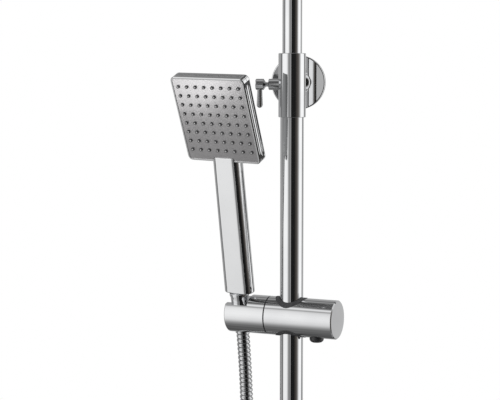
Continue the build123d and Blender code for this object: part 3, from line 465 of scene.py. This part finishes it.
def nozzle_places(node, axis):
    # One point on each nub's centre line, the foot's and the tip's height, and a way across the axis.
    verts = np.array([v.co for v in node.data.vertices])
    height = verts @ axis
    side = np.cross(axis, [1.0, 0.0, 0.0])
    side /= np.linalg.norm(side)
    other = np.cross(axis, side)
    flat = np.stack([verts @ side, verts @ other], 1)
    places = []
    left = np.ones(len(verts), bool)
    while left.any():
        seed = flat[np.argmax(left)]
        mine = left & (np.linalg.norm(flat - seed, axis=1) < NOZZLE_REACH)
        middle = (flat[mine].min(0) + flat[mine].max(0)) / 2
        places.append(middle[0] * side + middle[1] * other)
        left &= ~mine
    return places, height.min(), height.max(), side


def turned_pieces(name, places, axis, side, profile, material):
    # One mesh with a closed turned form at each place; the profile is a list of radius and height.
    other = np.cross(axis, side)
    angles = ring_angles(NOZZLE_SIDES)
    ring = np.cos(angles)[:, None] * side + np.sin(angles)[:, None] * other
    verts, faces = [], []
    for place in places:
        faces.extend(closed_tube(len(verts), len(profile), NOZZLE_SIDES))
        for radius, height in profile:
            verts.extend((place + axis * height + radius * ring).tolist())
    piece = new_piece(name, verts, faces, material)
    return piece


def pierced_nozzles(name, body, axis, radii):
    # Soft nubs with a rounded lip round a hole in the tip, and in each hole a pale insert that is a
    # painted highlight.
    axis = np.array(axis, float)
    places, low, high, side = nozzle_places(nodes[name], axis)
    nub, painted_highlight = (
        [(radii[end] * times, low + share * (high - low)) for end, times, share in outline]
        for outline in (NUB_OUTLINE, PAINTED_HIGHLIGHT_OUTLINE)
    )
    nubs = turned_pieces(name + "_pierced", places, axis, side, nub, MATERIALS["nozzle_rubber"])
    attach(nubs, body)
    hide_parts(name)
    # Pale inserts in the holes: a painted highlight on each nozzle.
    painted_highlights = turned_pieces(name + "_painted_highlights", places, axis, side, painted_highlight, PAINTED_HIGHLIGHT_MATERIAL)
    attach(painted_highlights, body)


plate_faces = [face for face in nodes["spray_plate"].data.polygons if face.normal.y < 0]
plate_front = max(plate_faces, key=lambda face: face.area).normal
pierced_nozzles("spray_nozzles", "handset", plate_front, SPRAY_RADII)
pierced_nozzles("rain_nozzles", "rain_head", (0, 0, -1), RAIN_RADII)


# Stage

def make_world():
    # White to the camera. Metal sees a studio with two large soft lights, a dark side where the
    # camera stands, a dim ceiling and a grey floor. Matt surfaces get an even light.
    world = bpy.data.worlds.new("studio")
    scene.world = world
    world.use_nodes = True
    tree = world.node_tree
    tree.nodes.clear()

    def math_node(operation, first, second=None):
        node = tree.nodes.new("ShaderNodeMath")
        node.operation = operation
        for socket, value in zip(node.inputs, (first, second)):
            if value is None:
                continue
            if isinstance(value, (int, float)):
                socket.default_value = value
            else:
                tree.links.new(value, socket)
        return node.outputs[0]

    def ramp(value, stops):
        low, high = stops[0][0], stops[-1][0]
        node = tree.nodes.new("ShaderNodeValToRGB")
        node.color_ramp.interpolation = "EASE"
        elements = node.color_ramp.elements
        while len(elements) < len(stops):
            elements.new(0.5)
        for element, (at, colour) in zip(elements, stops):
            element.position = (at - low) / (high - low)
            element.color = (*colour, 1) if isinstance(colour, tuple) else (colour, colour, colour, 1)
        scaled = math_node("DIVIDE", math_node("SUBTRACT", value, low), high - low)
        tree.links.new(scaled, node.inputs["Fac"])
        return node.outputs["Color"]

    def background(strength):
        node = tree.nodes.new("ShaderNodeBackground")
        node.inputs["Color"].default_value = (1, 1, 1, 1)
        node.inputs["Strength"].default_value = strength
        return node

    place = tree.nodes.new("ShaderNodeTexCoord")
    split = tree.nodes.new("ShaderNodeSeparateXYZ")
    link(tree, place, "Generated", split, "Vector")
    to_front = math_node("MULTIPLY", split.outputs["Y"], -1.0)
    turn = math_node("DEGREES", math_node("ARCTAN2", split.outputs["X"], to_front))
    height = math_node("DEGREES", math_node("ARCSINE", split.outputs["Z"]))

    even = tree.nodes.new("ShaderNodeMix")
    even.data_type = "RGBA"
    tree.links.new(ramp(height, STUDIO_POLES), even.inputs["Factor"])
    tree.links.new(ramp(turn, STUDIO_AROUND), even.inputs["A"])
    even.inputs["B"].default_value = (POLE_GREY, POLE_GREY, POLE_GREY, 1)
    both = tree.nodes.new("ShaderNodeMix")
    both.data_type = "RGBA"
    both.blend_type = "MULTIPLY"
    both.inputs["Factor"].default_value = 1.0
    link(tree, even, "Result", both, "A")
    tree.links.new(ramp(height, STUDIO_UP), both.inputs["B"])

    rays = tree.nodes.new("ShaderNodeLightPath")
    studio = background(STUDIO_STRENGTH)
    link(tree, both, "Result", studio, "Color")
    metal_or_matt = tree.nodes.new("ShaderNodeMixShader")
    link(tree, rays, "Is Glossy Ray", metal_or_matt, "Fac")
    tree.links.new(background(SOFT_STRENGTH).outputs[0], metal_or_matt.inputs[1])
    tree.links.new(studio.outputs[0], metal_or_matt.inputs[2])
    seen = tree.nodes.new("ShaderNodeMixShader")
    shown = math_node("MAXIMUM", rays.outputs["Is Camera Ray"], rays.outputs["Is Transmission Ray"])
    tree.links.new(shown, seen.inputs["Fac"])
    tree.links.new(metal_or_matt.outputs[0], seen.inputs[1])
    tree.links.new(background(1.0).outputs[0], seen.inputs[2])
    out = tree.nodes.new("ShaderNodeOutputWorld")
    tree.links.new(seen.outputs[0], out.inputs["Surface"])


def make_floor():
    mesh = bpy.data.meshes.new("floor")
    angles = ring_angles(FLOOR_SIDES)
    edge = [(FLOOR_REACH * math.cos(a), FLOOR_REACH * math.sin(a), 0) for a in angles]
    mesh.from_pydata(edge, [], [tuple(range(FLOOR_SIDES))])
    mesh.materials.append(surface(
        "floor_paint", dark=(0.86, 0.86, 0.86), pale=(0.9, 0.9, 0.9), rough=(0.6, 0.75),
        metallic=0, blotch=3, grain=200, bump=0.03,
    ))
    floor = bpy.data.objects.new("floor", mesh)
    floor.location.z = cad_low.z - FLOOR_BELOW
    floor.visible_glossy = False
    scene.collection.objects.link(floor)


def soft_light(name, place, target, size, watts, only=None):
    # A lamp for one piece alone is seen in that piece's gloss, and the other lamps in none.
    lamp = bpy.data.lights.new(name, "AREA")
    lamp.shape = "DISK"
    lamp.size = size
    lamp.energy = watts
    holder = bpy.data.objects.new(name, lamp)
    holder.location = place
    holder.rotation_euler = (Vector(target) - Vector(place)).to_track_quat("-Z", "Y").to_euler()
    holder.visible_glossy = only is not None
    holder.visible_camera = False
    scene.collection.objects.link(holder)
    if only is not None:
        lit = bpy.data.collections.new(name + "_lit")
        lit.objects.link(only)
        holder.light_linking.receiver_collection = lit


def make_camera():
    camera = bpy.data.cameras.new("camera")
    camera.sensor_width = SENSOR_MM
    camera.sensor_fit = "HORIZONTAL"
    camera.lens = SENSOR_MM * FOCAL_PIXELS / IMAGE_WIDTH
    camera.clip_start = NEAR_CLIP
    holder = bpy.data.objects.new("camera", camera)
    holder.location = CAMERA_PLACE
    holder.rotation_euler = (math.radians(90 - VIEW_PITCH), 0, math.radians(VIEW_AZIMUTH))
    scene.collection.objects.link(holder)
    scene.camera = holder


make_world()
make_floor()
soft_light("key", place=(-1.1, -1.7, 1.5), target=(0, -0.1, -0.1), size=1.4, watts=22)
soft_light("fill", place=(1.5, -1.3, 0.5), target=(0, -0.1, -0.2), size=1.4, watts=10)
soft_light(
    "plate", place=(-0.191, -0.175, -0.065), target=(-0.078, -0.118, 0.003), size=0.11, watts=0.072,
    only=nodes["spray_plate"],
)
make_camera()
